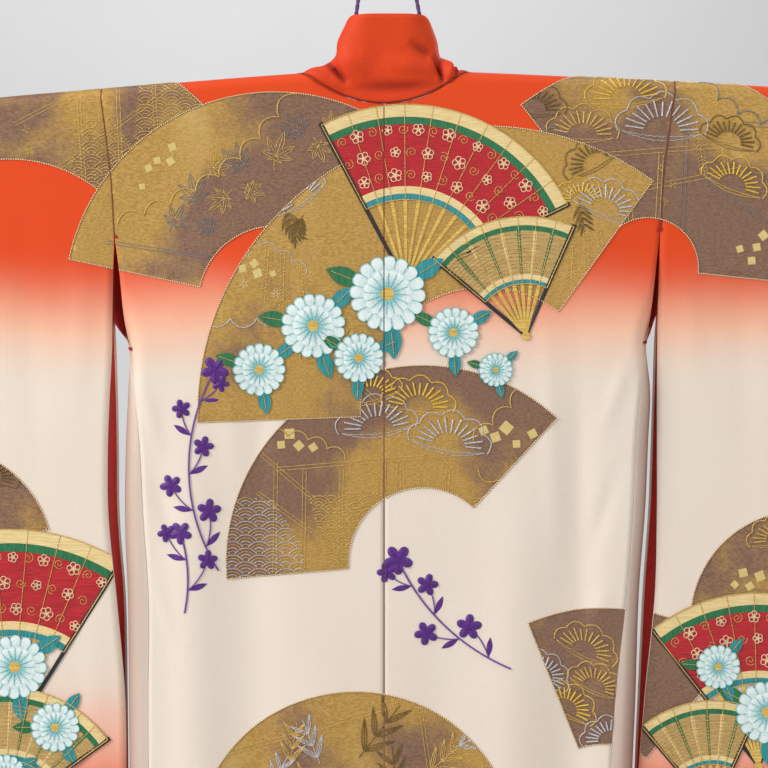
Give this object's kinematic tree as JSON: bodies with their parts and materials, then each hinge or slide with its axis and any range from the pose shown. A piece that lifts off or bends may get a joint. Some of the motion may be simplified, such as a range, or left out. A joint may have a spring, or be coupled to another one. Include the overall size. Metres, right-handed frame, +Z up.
{
  "type": "kimono on a hanging rod",
  "caption": "Long-sleeved lined kimono with a wide standing collar, hung back outward on a rod held by a cord and ring.",
  "frame": {"origin": "middle of the wire at the top of the hanging ring, where a hook holds it", "axes": "+Z up, +X towards the viewer's right when looking at the garment's back, -Y the way the garment's back faces"},
  "size_m": [1.4309, 0.0719, 1.9738],
  "materials": {
    "shaded_silk": "satin",
    "orange_silk": "satin",
    "red_lining_silk": "satin",
    "lacquered_wood": "satin lacquer",
    "purple_cord": "matte braid",
    "brass_wire": "polished"
  },
  "bodies": {
    "root": {"body_left": "shaded_silk", "body_right": "shaded_silk", "front_overlap_left": "shaded_silk", "front_overlap_right": "shaded_silk", "sleeve_left": "shaded_silk", "sleeve_right": "shaded_silk", "collar": "orange_silk", "body_lining_left": "red_lining_silk", "body_lining_right": "red_lining_silk", "sleeve_lining_left": "red_lining_silk", "sleeve_lining_right": "red_lining_silk", "hanger_rod": "lacquered_wood", "rod_tie_left": "purple_cord", "rod_tie_right": "purple_cord", "cord_left": "purple_cord", "cord_right": "purple_cord", "hanging_knot": "purple_cord", "hanging_loop": "purple_cord", "hanging_ring": "brass_wire"}
  },
  "joints": []
}
